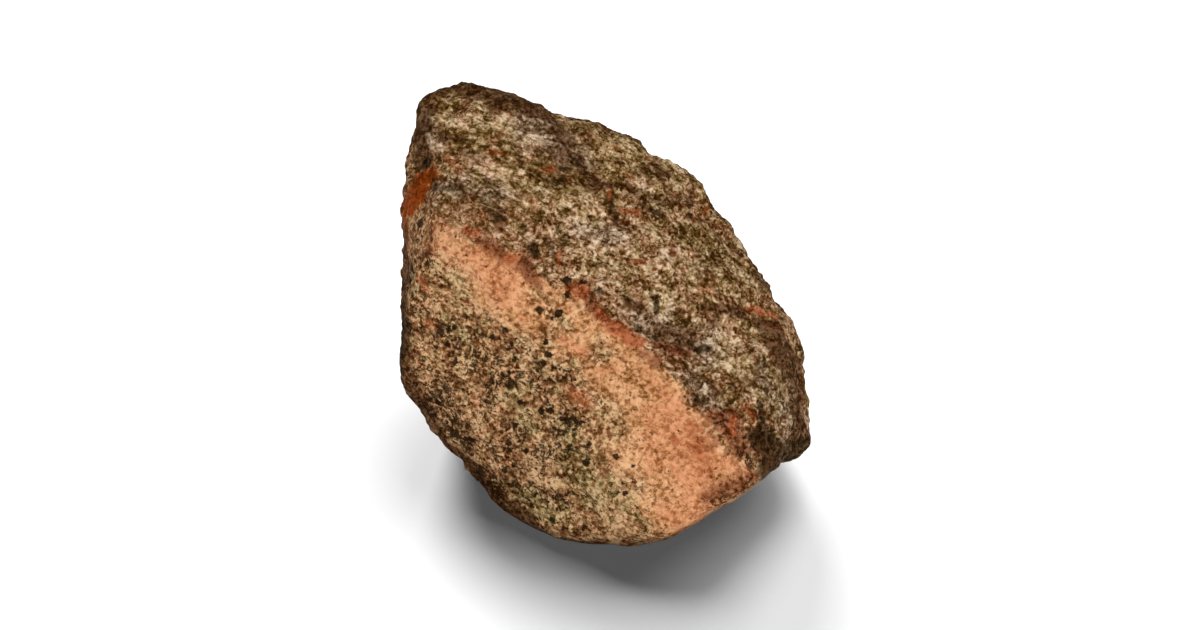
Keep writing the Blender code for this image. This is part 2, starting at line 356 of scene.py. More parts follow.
        Mark((1, 9.6), (4, 6.6), 2.2), Mark((7, -30), (10, -43), 2.2, 0.7),
        Mark((1.6, 4), (3.4, 1.6), 1.5, 0.7), Mark((9.4, -1.4), (11, -2.6), 2.0, 0.9),
        Mark((13, 2.6), (14, 1.6), 1.8, 0.8), Mark((13, -6.6), (15, -6), 1.3, 0.8),
        Mark((21, -9.6), (23, -12), 1.8, 0.6), Mark((-10, 15), (13, 15.4), 2.0, 0.45),
        Mark((-2, 6.4), (10, 5), 1.6, 0.4), Mark((1, 40), (6, 38), 2.0, 0.7),
        # Pale grains of the long slope.
        Mark((2, 42.8), (6, 41.6), 1.5, 1.2), Mark((-2.8, 43.8), (-1.6, 43.4), 0.9),
        Mark((6, 33), (8.6, 32.4), 1.2, 0.7), Mark((11.6, 30.4), (13, 30), 0.8, 1.1),
        Mark((13.4, 38.4), (15.4, 36.6), 1.3), Mark((17, 35), (19, 33.4), 1.4, 0.8),
        Mark((21.4, 8.2), (22, 5.6), 1.3), Mark((21, 11.4), (22, 11), 0.9),
        Mark((26.2, 19.6), (27, 19.2), 0.8), Mark((29, 18.4), (33.6, 17), 1.3, 0.6),
        Mark((31, 12), (34, 9), 1.0, 0.6),
        # The pale lump of the right end.
        Mark((23.6, -3.4), (24.6, -6.6), 1.2, 0.9), Mark((28, -4.4), (31, -3), 1.3, 0.7),
        Mark((26, -6.6), (32.4, -7.6), 1.6, 0.8), Mark((28, -11), (35.6, -14), 1.8, 0.7),
        Mark((42, -16.8), (42.6, -17.4), 1.0), Mark((36.4, -18.4), (36.8, -19.2), 0.9),
        Mark((42, -23), (42.8, -24), 1.1, 1.2), Mark((44.8, -26.4), (45.2, -27.4), 0.9, 1.1),
        # On the break.
        Mark((25.4, -26), (28, -33.4), 0.8, 1.2), Mark((-37, 17), (-32, 8), 3.4, 0.8),
        Mark((-36, 13), (-32, 12.4), 2.6, 0.6), Mark((-6, -6), (-2, -5), 1.8, 0.7),
        Mark((-29, 8), (-27, 4), 2.0, 0.4), Mark((17, -21), (19.4, -26), 1.6, 0.6),
        Mark((4, -36), (9.6, -38), 2.0, 0.8), Mark((-2.4, -40), (0, -48), 1.6, 0.8),
        Mark((1, -51), (4, -51.4), 1.6, 0.8), Mark((10, -42), (11, -46), 1.4, 0.6),
        Mark((16, -41), (19, -45), 2.2, 0.6), Mark((-29, -20.6), (-27, -21.6), 1.6, 0.8),
        Mark((-33.6, -24), (-31.4, -28.6), 1.2, 0.7), Mark((-18, -36.4), (-13, -42), 2.2, 0.8),
        Mark((-15.4, -30), (-13.4, -39), 2.4, 1.2), Mark((-44, -6), (-43.6, -9), 1.4, 0.6),
        Mark((-39, -13.4), (-37.4, -14.4), 1.6, 0.5), Mark((-38.6, -22), (-37, -22.6), 1.8, 0.9),
        Mark((-18.4, -13), (-21.4, -18.6), 2.0, 0.9), Mark((-10.6, -25.6), (-9, -27), 1.6, 0.8),
        Mark((-22.6, -29.6), (-21, -31), 1.8, 0.9), Mark((3, -39), (6, -50), 3.4, 0.7),
        Mark((17, -37), (18.4, -39.6), 1.8, 0.8), Mark((33, -33.4), (35, -38), 1.8, 0.9),
    ),
    Stain.OLIVE: (
        Mark((2, 42), (20, 34), 4.0, 0.8), Mark((20, 20), (34, 10), 4.0, 0.6),
        Mark((4, 11), (6, 9), 1.6), Mark((8, -3), (13, -5), 2.0),
        Mark((22.6, 12.6), (27, 12), 2.4), Mark((36, -12), (46, -26), 4.0, 0.8),
        Mark((25, -14), (30, -21), 2.4, 0.6), Mark((-22, -19), (-18, -27), 2.6, 0.8),
        Mark((-9, -28), (-4, -44), 3.0), Mark((1, -41), (8, -48), 2.6, 0.7),
        Mark((-20, -45), (-12, -50), 3.0, 0.8), Mark((-37, -3), (-34, -6), 1.8, 0.7),
        Mark((-36, 8), (-33, 5), 2.4, 0.5),
    ),
    Stain.PEPPER: (
        Mark((-12.6, 0), (-9.4, -3.4), 1.5, 0.7), Mark((-1.4, -6.4), (1, -9), 1.8, 0.9),
        Mark((-9, -9.6), (-5, -12.4), 1.4, 0.6), Mark((28, -26), (35, -36), 3.4, 1.2),
        Mark((26, -45), (35, -40), 3.0, 1.1), Mark((-13, 9.6), (-11, 7), 1.6, 0.7),
        Mark((-42, 21), (-30, 20), 3.0, 0.9), Mark((-43.6, 19), (-42, 13), 2.8, 1.2),
        Mark((-16.4, 5.4), (-13, 2.4), 2.0, 0.6), Mark((-14, -4.6), (-14, -15), 2.4, 0.8),
        Mark((-11, -1.4), (-9.6, -2.4), 1.8, 0.8), Mark((-2.4, -9.6), (-1.4, -10.6), 1.6, 0.8),
        Mark((-38.4, -3), (-36, -3), 1.7), Mark((-38.4, -5.4), (-33.6, -6.4), 1.7),
        Mark((-34, -13.6), (-33.4, -14.6), 1.5), Mark((-38.6, -17.6), (-37, -18.4), 1.5),
        Mark((-26.4, -13), (-25.6, -19), 1.6), Mark((-44, -22), (-27, -43), 3.4, 0.7),
        Mark((-14.6, -21.4), (-13, -22.4), 1.5, 0.8), Mark((-3, -21), (3, -23.4), 2.2, 0.9),
    ),
}

# The black spots big enough to have places of their own, and how far each reaches.
SPOTS: tuple[tuple[Place, float], ...] = (
    ((-44.7, 22.3), 1.1), ((-47, 12), 0.7), ((-47, 10.6), 0.6), ((-38, -3.1), 0.6),
    ((-36.8, -3.3), 0.6), ((-41.4, -8), 0.6), ((-38.6, -7), 0.6), ((-36.4, -11), 0.8),
    ((-32.6, -8.4), 0.5), ((-27.4, -5.2), 0.7), ((-24, -3.8), 0.7), ((-27.2, -15.8), 0.8),
    ((-23.4, -14), 0.5), ((-21.6, -10.6), 0.7), ((-25, -11), 0.4), ((-15.8, 1.1), 0.9),
    ((-11.3, 0.4), 0.8), ((-10.4, 0.4), 0.7), ((-12.8, -0.8), 0.4), ((-9, 8.2), 1), ((-9, 5), 0.8),
    ((-5.3, 8), 0.6), ((-15.3, -23.2), 0.8), ((-13.1, -23.2), 0.8), ((-10.7, -25), 0.7),
    ((-6.8, -26.2), 0.6), ((-5.8, -25.8), 0.6), ((-20.5, -21), 0.8), ((-22, -26.5), 0.8),
    ((-34, -27.5), 0.7), ((-39, -26.5), 0.6), ((-33, -31), 0.9), ((-23.5, -31.5), 0.8),
    ((-19, -33.5), 0.7), ((-11, -31.5), 0.5), ((-4, -31), 0.5), ((-4.7, -35.6), 0.9),
    ((2.7, -34), 0.8), ((-24.8, -38.6), 0.8), ((-23.2, -42), 0.8), ((-17, -44), 0.6),
    ((-18, -47.2), 0.7), ((-12.5, -50.6), 0.8), ((-5, -52), 0.8), ((-9.5, -52.4), 0.6),
    ((-13.6, -9.6), 0.9), ((-15, -11.4), 0.7), ((-12, -12.4), 0.6), ((-14.4, -6.4), 0.6),
    ((3.4, -42.8), 0.6), ((5, -43), 0.5), ((4, -40.6), 0.5), ((8, -46.5), 0.5),
    ((-46.4, -16.6), 0.8), ((-41.5, -21.5), 0.8), ((6.9, -36.5), 0.5), ((-28.6, -41.5), 0.8),
)


@dataclass(frozen=True)
class Border:
    """A soft border across the show side, in millimetres. What it bounds lies to its left.

    rights is how far right the border runs at each of heights. What it bounds is whole from inside
    it on, and gone from outside it on.
    """

    heights: tuple[float, ...]
    rights: tuple[float, ...]
    inside: float
    outside: float

    def share(self, seen: np.ndarray, wander: np.ndarray) -> np.ndarray:
        """How much of what it bounds is at places on the show side.

        Args:
            seen: millimetres right, up and out from the heart, one place to a row.
            wander: how far right each place is counted to be, to make the border uneven.

        Returns:
            One share for each place, from 0 to 1.
        """
        past = seen[:, 0] + wander - np.interp(seen[:, 1], self.heights, self.rights)
        return 1 - ease(past, -self.inside, self.outside)


GRIT_BORDER = Border(
    heights=(-56, -46, -36, -28, -20, -12, -5, 2, 12, 18, 22),
    rights=(13, 7, 3, 2, 1, -9, -18, -29, -34, -32, -20),
    inside=5,
    outside=5,
)
SPECK_BORDER = Border(
    heights=(-56, -40, -30, -22, -14, -8, -2, 4, 10, 24),
    rights=(-3, -1, 1, 0, -7, -15, -28, -40, -46, -46),
    inside=6,
    outside=5,
)


@dataclass(frozen=True)
class Scatter:
    """A stain scattered at random where the stone faces away from the show side.

    width is a patch's width in millimetres, seed sets one stain's patches apart from the next one's,
    and strength is how full the stain is at a patch's middle.
    """

    stain: Stain
    seed: float
    width: float
    strength: float

    def patches(self, seen: np.ndarray) -> np.ndarray:
        """Where the patches are, as a share from 0 to 1 for each place."""
        return ease(Bumps(self.width, self.seed, (1.5, 0.8, 1)).at(seen), 0.1, 0.55)


SCATTERED = (
    Scatter(Stain.RUST, 2.4, 4, 0.6),
    Scatter(Stain.BRICK, 5.8, 9, 0.5),
    Scatter(Stain.SOOT, 9.2, 5, 0.7),
    Scatter(Stain.BROWN_AND_PAINTED_SHADE, 7.7, 15, 1.2),
    Scatter(Stain.CHALK, 4.1, 7, 1.0),
    Scatter(Stain.ASH, 6.4, 14, 1.0),
    Scatter(Stain.OLIVE, 8.3, 12, 0.8),
)


# ---------------------------------------------------------------- the stone's skin


@dataclass(frozen=True)
class Ridge:
    """One stretch of the ridge between the break and the crust.

    bearing is the way the stretch faces the crust, in degrees anticlockwise from the right, and
    reach is how far it lies from the heart that way, in millimetres.
    """

    bearing: float
    reach: float

    def beyond(self, seen: np.ndarray) -> np.ndarray:
        """How far places are past this stretch, towards the crust, in millimetres."""
        turn = math.radians(self.bearing)
        return seen[:, :2] @ np.array([math.cos(turn), math.sin(turn)]) - self.reach


@dataclass(frozen=True)
class Swell:
    """A round rise about a place on the show side, in millimetres."""

    place: Place
    reach: float
    height: float

    def at(self, seen: np.ndarray) -> np.ndarray:
        """How high the swell is at each place, in millimetres."""
        away = np.linalg.norm(seen[:, :2] - np.array(self.place), axis=1) / self.reach
        return self.height * np.exp(-(away**2))


@dataclass
class Skin:
    """The stone's points while its relief and its layers are worked out, one to a row.

    depth_share is how much depth counts for beside width where a stain spreads. A place is found
    among the points that face the show side more than edge_on, and is the middle of the nearest few.
    """

    points: np.ndarray
    normals: np.ndarray
    side: ShowSide
    depth_share: float = 0.35
    edge_on: float = 0.05
    nearest: int = 8
    layers: dict[Ground | Stain, np.ndarray] = field(default_factory=dict)

    @cached_property
    def seen(self) -> np.ndarray:
        """Millimetres right, up and out from the heart."""
        return self.side.read(self.points)

    @cached_property
    def flat(self) -> np.ndarray:
        """The same with less depth, so that a stain follows the stone round its rim."""
        return self.seen * (1, 1, self.depth_share)

    @cached_property
    def facing(self) -> np.ndarray:
        """How squarely the skin faces the show side, from -1 to 1."""
        return self.normals @ self.side.axes[2]

    @cached_property
    def lower_edge(self) -> np.ndarray:
        """How near the show side's lower edge is, where the break goes on round the rim."""
        return ease(self.seen[:, 0] * 0.7 - self.seen[:, 1], 20, 44)

    def found(self, place: Place) -> np.ndarray:
        """Where on the stone a place on the show side is, with less depth.

        Args:
            place: millimetres right and up from the heart.

        Returns:
            The middle of the points nearest to it.
        """
        away = np.linalg.norm(self.flat[:, :2] - np.array(place), axis=1)
        away[self.facing < self.edge_on] = np.inf
        return self.flat[np.argsort(away)[: self.nearest]].mean(axis=0)


@dataclass
class Stone:
    """The stone's weathered skin, grown on its solid.

    spacing and smoothing say how fine and how even the skin is. Below flat_height it keeps to the
    floor, and its relief grows from there to calm_height. The crust starts at the ridges, and its
    tongue reaches down over the break. The outline stands a little fuller at each of the swells.
    """

    solid: bpy.types.Object
    side: ShowSide
    touching: float = 0.001 * MM
    spacing: float = 0.64 * MM
    smoothing: int = 12
    flat_height: float = 0.3 * MM
    calm_height: float = 4 * MM
    ridges: tuple[Ridge, ...] = (Ridge(58, -0.8), Ridge(45.3, 1.35))
    tongue: Swell = Swell((22, -22), 5, 4)
    swells: tuple[Swell, ...] = (
        Swell((-46, 53.5), 5, 0.9),
        Swell((-50, 32), 4, 0.8),
        Swell((-50, 18), 4, 0.4),
        Swell((-50.5, 0.5), 4, 0.8),
        Swell((-51, -12), 5, 0.6),
        Swell((-49, -19), 5, 1.2),
        Swell((-43, -29), 4, 0.5),
        Swell((-40, -32), 3, 0.5),
        Swell((-13, -54), 6, 1.1),
        Swell((14, 39), 5, 0.8),
        Swell((23, 31.5), 5, 1.5),
        Swell((39, 8.5), 4, 1.0),
        Swell((48, -5), 4, 0.6),
        Swell((51, -32), 4, 1.3),
    )

    def build(self) -> bpy.types.Object:
        """Grows the skin, gives it its relief and writes its layers.

        Returns:
            The stone's piece, with no finish yet.
        """
        piece = self._grown()
        mesh = piece.data
        skin = Skin(self._rows(mesh, "co"), self._rows(mesh, "normal"), self.side)
        self._lay_grounds(skin)
        self._lay_spots(skin)
        self._lay_marks(skin)
        self._scatter(skin)
        moved = self._weathered(skin)
        mesh.vertices.foreach_set("co", moved.astype(np.float32).ravel())
        for kind, values in skin.layers.items():
            layer = mesh.attributes.new(kind.value, "FLOAT", "POINT")
            layer.data.foreach_set("value", values.astype(np.float32))
        mesh.shade_smooth()
        mesh.update()
        return piece

    def dress(self, piece: bpy.types.Object, finish: "StoneFinish") -> None:
        """Gives the stone its finish and ties it to the frame.

        Args:
            piece: the stone's skin.
            finish: what its surface is made of.
        """
        piece.data.materials.clear()
        piece.data.materials.append(finish.material())
        piece.visible_diffuse = False  # keeps the stone's colour off the white floor
        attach(piece, "root")
        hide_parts("meteorite")

    def _grown(self) -> bpy.types.Object:
        """Makes an even, fine copy of the solid, with the marks of its flat triangles smoothed away.

        Returns:
            The copy, as a piece of its own.
        """
        coarse = self.solid.data.copy()
        piece = bpy.data.objects.new("meteorite_skin", coarse)
        bpy.context.scene.collection.objects.link(piece)
        weld = piece.modifiers.new("weld", "WELD")
        weld.merge_threshold = self.touching
        remesh = piece.modifiers.new("even out", "REMESH")
        remesh.mode = "VOXEL"
        remesh.voxel_size = self.spacing
        smooth = piece.modifiers.new("smooth", "SMOOTH")
        smooth.factor = 0.5
        smooth.iterations = self.smoothing
        graph = bpy.context.evaluated_depsgraph_get()
        fine = bpy.data.meshes.new_from_object(piece.evaluated_get(graph))
        piece.modifiers.clear()
        piece.data = fine
        bpy.data.meshes.remove(coarse)
        return piece

    @staticmethod
    def _rows(mesh: bpy.types.Mesh, what: str) -> np.ndarray:
        """Reads one thing about a mesh's points.

        Args:
            mesh: the mesh.
            what: the thing's name in Blender.

        Returns:
            Three numbers for each point, one point to a row.
        """
        values = np.empty(len(mesh.vertices) * 3, np.float32)
        mesh.vertices.foreach_get(what, values)
        return values.reshape(-1, 3).astype(float)

    def _lay_grounds(self, skin: Skin) -> None:
        """Lays out the crust and the break, and what each is like from place to place.

        Args:
            skin: the stone's points, whose layers are filled in.
        """
        seen, layers = skin.seen, skin.layers
        right, up = seen[:, 0], seen[:, 1]
        # The crust's edge strays a few millimetres either way from the ridge.
        wobble = Bumps(7, 3.3).at(seen) * 2.2 + Bumps(2.6, 9.1).at(seen) * 1.2
        beyond = np.max([ridge.beyond(seen) for ridge in self.ridges], axis=0) + wobble
        beyond += self.tongue.at(seen)
        turned = 1 - ease(skin.facing + skin.lower_edge * 0.75, 0.12, 0.42)
        layers[Ground.CRUST] = np.maximum(ease(beyond, -4, 4), turned)

        # Grit and dark specks crowd the lower left of the break and thin out towards the ridge.
        wander = Bumps(9, 5.5).at(seen) * 7
        layers[Ground.GRIT] = GRIT_BORDER.share(seen, wander)
        layers[Ground.SPECKS] = SPECK_BORDER.share(seen, wander)
        layers[Ground.CLEAN] = ease(right * 0.5 - up, 24, 36)
        layers[Ground.CROWN] = ease(up - right * 0.4, 20, 40) * 0.9 + 0.15
        layers[Ground.BRINK] = np.exp(-(((beyond - 3) / 4) ** 2))

    def _lay_spots(self, skin: Skin) -> None:
        """Lays the largest black spots.

        Args:
            skin: the stone's points, whose layers are filled in.
        """
        inside = [size - np.linalg.norm(skin.flat - skin.found(place), axis=1) for place, size in SPOTS]
        skin.layers[Ground.SPOTS] = ease(np.max(inside, axis=0), -0.6, 0.6)

    def _lay_marks(self, skin: Skin) -> None:
        """Lays each stain's marks, and painted shade all round the rim where the skin turns edge-on to
        the show side, but not on its lower edge.

        Args:
            skin: the stone's points, whose layers are filled in.
        """
        seen, facing = skin.seen, skin.facing
        uneven = [Bumps(4, 1.7).at(seen), Bumps(4, 6.2).at(seen), np.zeros(len(seen))]
        drift = skin.flat + np.stack(uneven, axis=1)
        for stain, marks in MARKS.items():
            bare = np.ones(len(seen))
            for mark in marks:
                bare *= 1 - mark.share(drift, skin.found(mark.start), skin.found(mark.end))
            skin.layers[stain] = 1 - bare
        # Painted shade: the rim darkens where the skin turns edge-on to the show side, but not on the
        # lower edge.
        rim = (1 - ease(facing, 0.05, 0.4)) * ease(facing, -0.75, -0.25) * (1 - skin.lower_edge)
        skin.layers[Stain.BROWN_AND_PAINTED_SHADE] = np.maximum(skin.layers[Stain.BROWN_AND_PAINTED_SHADE], rim * 0.8)

    def _scatter(self, skin: Skin) -> None:
        """Scatters stains over the sides that face away, in the show side's colours.

        Args:
            skin: the stone's points, whose layers are added to.
        """
        hidden = 1 - ease(skin.facing, -0.35, -0.05)
        for scatter in SCATTERED:
            share = scatter.patches(skin.seen) * hidden * scatter.strength
            skin.layers[scatter.stain] = np.maximum(skin.layers[scatter.stain], share)

    def _weathered(self, skin: Skin) -> np.ndarray:
        """Moves the skin in and out to make its relief, and keeps it in the solid's box.

        Args:
            skin: the stone's points and layers.

        Returns:
            The moved points, in metres.
        """
        seen, crust = skin.seen, skin.layers[Ground.CRUST]
        # The crust's relief and then the break's. Widths and heights are in millimetres.
        nearest, second = Cells(2.1, 1.9).at(seen)
        grains = (0.5 - nearest) * 0.55
        cracks = -ease(0.16 - (second - nearest), 0, 0.16) * 0.2
        knobs = Bumps(4.6, 6.6).at(seen) * 0.6
        along = seen @ np.array(Matrix.Rotation(LEAN, 3, "Z"))
        ledges = (ease(Bumps(8.5, 2.2, (1.8, 0.7, 1)).at(along), -0.06, 0.06) - 0.5) * 0.5
        streaks = Bumps(2.2, 4.4, (3.2, 0.8, 1)).at(along) * 0.4
        holes, _ = Cells(6.5, 7.2).at(seen)
        pits = -ease(0.22 - holes, 0, 0.16) * 0.8
        rough = grains + cracks + knobs + ledges + streaks + pits

        waves = Bumps(12, 3.8).at(seen) * 0.35 + Bumps(5, 1.2).at(seen) * 0.2
        peel = Bumps(1.9, 8.8).at(seen) * 0.13
        chips = -ease(Bumps(3.4, 5.9).at(seen), 0.2, 0.5) * 0.25 * skin.layers[Ground.SPECKS]
        smooth = waves + peel + chips

        height = crust * (rough - 0.05) + (1 - crust) * (smooth + 0.05)
        height += sum(swell.at(seen) for swell in self.swells)
        # Where the relief is low, painted shade darkens the crust's colour.
        skin.layers[Ground.PAINTED_HOLLOW_SHADE] = ease(-(grains + cracks + pits + chips), -0.12, 0.35)
        calm = ease(skin.points[:, 2], self.flat_height, self.calm_height)
        moved = skin.points + skin.normals * (height * MM * calm)[:, None]
        low, high = (np.array(corner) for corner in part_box("meteorite"))
        moved = np.clip(moved, low, high)
        resting = skin.points[:, 2] < self.flat_height
        moved[resting, 2] = low[2]
        return moved


# ---------------------------------------------------------------- the stone's finish


def chart(red: int, green: int, blue: int) -> RGB:
    """A colour from a printed chart, as the share of each light that it sends back.

    Args:
        red: the chart's red, from 0 to 255.
        green: the chart's green, from 0 to 255.
        blue: the chart's blue, from 0 to 255.

    Returns:
        Red, green and blue, from 0 to 1.
    """
    shares = (value / 255 for value in (red, green, blue))
    return tuple(s / 12.92 if s <= 0.04045 else ((s + 0.055) / 1.055) ** 2.4 for s in shares)


@dataclass(frozen=True)
class Term:
    """A number or a colour that varies over the stone, and that sums can be done with."""

    recipe: "Recipe"
    socket: bpy.types.NodeSocket

    def __add__(self, other: "Term | float") -> "Term":
        """This and another, added."""
        return self.recipe.sum_of("ADD", self, other)

    def __sub__(self, other: "Term | float") -> "Term":
        """This less another."""
        return self.recipe.sum_of("SUBTRACT", self, other)

    def __rsub__(self, other: float) -> "Term":
        """A number less this."""
        return self.recipe.sum_of("SUBTRACT", other, self)

    def __mul__(self, other: "Term | float") -> "Term":
        """This times another."""
        return self.recipe.sum_of("MULTIPLY", self, other)

    def or_more(self, other: "Term") -> "Term":
        """This or another, whichever is greater."""
        return self.recipe.sum_of("MAXIMUM", self, other)

    def eased(self, low: float, high: float) -> "Term":
        """An even S-curve from 0 to 1.

        Args:
            low: where the curve leaves 0.
            high: where the curve reaches 1.

        Returns:
            The share.
        """
        node = self.recipe.node("ShaderNodeMapRange", interpolation_type="SMOOTHSTEP")
        self.recipe.feed(node.inputs["Value"], self)
        self.recipe.feed(node.inputs["From Min"], low)
        self.recipe.feed(node.inputs["From Max"], high)
        return Term(self.recipe, node.outputs["Result"])

    def ramp(self, *stops: tuple[float, RGB]) -> "Term":
        """Colours that run into each other as this grows.

        Args:
            stops: a value and the colour there, in rising order.

        Returns:
            The colour.
        """
        node = self.recipe.node("ShaderNodeValToRGB")
        self.recipe.feed(node.inputs[0], self)
        elements = node.color_ramp.elements
        while len(elements) < len(stops):
            elements.new(1.0)
        for element, (at, colour) in zip(elements, stops):
            element.position = at
            element.color = (*colour, 1)
        return Term(self.recipe, node.outputs[0])

    def paleness(self) -> "Term":
        """Works out how pale this colour looks.

        Returns:
            The paleness, from 0 for black to 1 for white.
        """
        node = self.recipe.node("ShaderNodeRGBToBW")
        self.recipe.feed(node.inputs[0], self)
        return self.recipe.sum_of("POWER", Term(self.recipe, node.outputs[0]), 0.45)

    def under(self, over: "Term | RGB", share: "Term | float") -> "Term":
        """This colour with another laid over it.

        Args:
            over: the upper colour.
            share: how much of the upper colour shows.

        Returns:
            The colour.
        """
        node = self.recipe.node("ShaderNodeMix", data_type="RGBA")
        self.recipe.feed(node.inputs[0], share)
        self.recipe.feed(node.inputs[6], self)
        self.recipe.feed(node.inputs[7], over)
        return Term(self.recipe, node.outputs[2])


@dataclass
class Recipe:
    """A material's node tree, written one step at a time."""

    name: str
    material: bpy.types.Material = field(init=False)
    tree: bpy.types.NodeTree = field(init=False)
    shader: bpy.types.Node = field(init=False)
    place: Term = field(init=False)

    def __post_init__(self) -> None:
        """Starts a material with nothing in it but its shader."""
        self.material = bpy.data.materials.new(self.name)
        self.material.use_nodes = True
        self.tree = self.material.node_tree
        self.shader = self.tree.nodes["Principled BSDF"]
        self.place = Term(self, self.node("ShaderNodeTexCoord").outputs["Object"])

    def node(self, kind: str, **settings: object) -> bpy.types.Node:
        """Adds one node.

        Args:
            kind: the node's type.
            settings: the node's own settings.

        Returns:
            The node.
        """
        node = self.tree.nodes.new(kind)
        for name, value in settings.items():
            setattr(node, name, value)
        return node

    def feed(self, socket: bpy.types.NodeSocket, value: "Term | float | tuple[float, ...]") -> None:
        """Links a socket, or sets its number, its colour or its three numbers.

        Args:
            socket: the socket to fill.
            value: what goes into it.
        """
        if isinstance(value, Term):
            self.tree.links.new(value.socket, socket)
        elif isinstance(value, tuple) and socket.type == "RGBA":
            socket.default_value = (*value, 1)
        else:
            socket.default_value = value

    def sum_of(self, operation: str, first: "Term | float", second: "Term | float") -> Term:
        """One sum of two numbers.

        Args:
            operation: what is done with them, as Blender names it.
            first: a number, fixed or not.
            second: a number, fixed or not.

        Returns:
            The result.
        """
        node = self.node("ShaderNodeMath", operation=operation)
        self.feed(node.inputs[0], first)
        self.feed(node.inputs[1], second)
        return Term(self, node.outputs[0])

    def layer(self, kind: Ground | Stain) -> Term:
        """One of the skin's layers."""
        return Term(self, self.node("ShaderNodeAttribute", attribute_name=kind.value).outputs["Fac"])

    def places(self, seed: float, sizes: tuple[float, float, float] = (1, 1, 1)) -> Term:
        """Places on the stone, measured along the crust's grain, across it and outward.

        Args:
            seed: what sets one pattern apart from the next, in metres.
            sizes: how much longer a pattern is along the grain, across it and outward.

        Returns:
            The places.
        """
        node = self.node("ShaderNodeMapping", vector_type="TEXTURE")
        self.feed(node.inputs["Vector"], self.place)
        turn = Matrix.Rotation(math.pi / 2 - RISE, 3, "X") @ Matrix.Rotation(LEAN, 3, "Z")
        self.feed(node.inputs["Rotation"], tuple(turn.to_euler()))
        self.feed(node.inputs["Location"], (seed, seed, seed))
        self.feed(node.inputs["Scale"], sizes)
        return Term(self, node.outputs[0])

    def blur(
        self,
        width: float,
        seed: float,
        detail: float = 2.0,
        roughness: float = 0.55,
        twist: float = 0.0,
        sizes: tuple[float, float, float] = (1, 1, 1),
    ) -> Term:
        """A random pattern of soft patches.

        Args:
            width: a patch's width in millimetres.
            seed: what sets one pattern apart from the next, in metres.
            detail: how many finer patterns are laid on it.
            roughness: how strong the finer patterns are.
            twist: how much the patches are drawn out into curls.
            sizes: how much longer the patches are along the grain, across it and outward.

        Returns:
            Numbers about 0, mostly from -0.3 to 0.3.
        """
        node = self.node("ShaderNodeTexNoise")
        self.feed(node.inputs["Vector"], self.places(seed, sizes))
        self.feed(node.inputs["Scale"], 1 / (width * MM))
        self.feed(node.inputs["Detail"], detail)
        self.feed(node.inputs["Roughness"], roughness)
        self.feed(node.inputs["Distortion"], twist)
        return Term(self, node.outputs["Fac"]) - 0.5

    def grains(self, width: float, seed: float) -> tuple[Term, Term, Term]:
        """A random pattern of packed grains with ragged edges, each of one value all over.

        Args:
            width: a grain's width in millimetres.
            seed: what sets one pattern apart from the next, in metres.

        Returns:
            Three random numbers for each grain, from 0 to 1.
        """
        size = width * MM
        stray = self.node("ShaderNodeTexNoise")
        self.feed(stray.inputs["Vector"], self.places(seed + 1))
        self.feed(stray.inputs["Scale"], 1.4 / size)
        self.feed(stray.inputs["Detail"], 1.0)
        shift = self.node("ShaderNodeVectorMath", operation="MULTIPLY_ADD")
        self.feed(shift.inputs[0], Term(self, stray.outputs["Color"]))
        self.feed(shift.inputs[1], (size, size, size))
        self.feed(shift.inputs[2], self.places(seed))
        cells = self.node("ShaderNodeTexVoronoi")
        self.feed(cells.inputs["Vector"], Term(self, shift.outputs[0]))
        self.feed(cells.inputs["Scale"], 1 / size)
        parts = self.node("ShaderNodeSeparateColor")
        self.feed(parts.inputs[0], Term(self, cells.outputs["Color"]))
        return tuple(Term(self, output) for output in parts.outputs)


@dataclass(frozen=True)
class Tones:
    """One mineral's colours, from the bottom of its cracks to its brightest grains."""

    deep: RGB
    dark: RGB
    middle: RGB
    light: RGB
    bright: RGB

    def of(self, tone: Term) -> Term:
        """The colour for each tone, from 0 for the darkest to 1 for the brightest."""
        stops = (0.14, 0.32, 0.5, 0.68, 0.86)
        return tone.ramp(*zip(stops, (self.deep, self.dark, self.middle, self.light, self.bright)))


@dataclass(frozen=True)
class StainFinish:
    """What a stain looks like where it is full.

    full is how much of the stone it hides there, and mottle is how uneven its colour is.
    """

    dark: RGB
    light: RGB
    full: float
    mottle: float = 1.0


PINK_CRUST = Tones(
    chart(58, 26, 2), chart(94, 56, 24), chart(148, 106, 70), chart(202, 162, 126), chart(238, 208, 176)
)
OLIVE_CRUST = Tones(
    chart(46, 26, 0), chart(82, 56, 18), chart(130, 100, 58), chart(186, 156, 114), chart(228, 204, 164)
)
ASHEN_CRUST = Tones(
    chart(48, 32, 14), chart(84, 62, 38), chart(138, 112, 86), chart(192, 170, 146), chart(228, 210, 190)
)
SMOOTH_BREAK = Tones(
    chart(96, 52, 16), chart(144, 94, 52), chart(197, 141, 95), chart(222, 166, 120), chart(234, 182, 136)
)
GRITTY_BREAK = Tones(
    chart(54, 22, 2), chart(98, 58, 30), chart(160, 115, 77), chart(201, 155, 112), chart(224, 182, 138)
)
OLIVE_BREAK = Tones(
    chart(32, 22, 0), chart(68, 52, 20), chart(130, 107, 66), chart(180, 150, 104), chart(212, 182, 134)
)
FLECK_BROWN = chart(110, 62, 26)
SPECK_BLACK = chart(30, 17, 3)
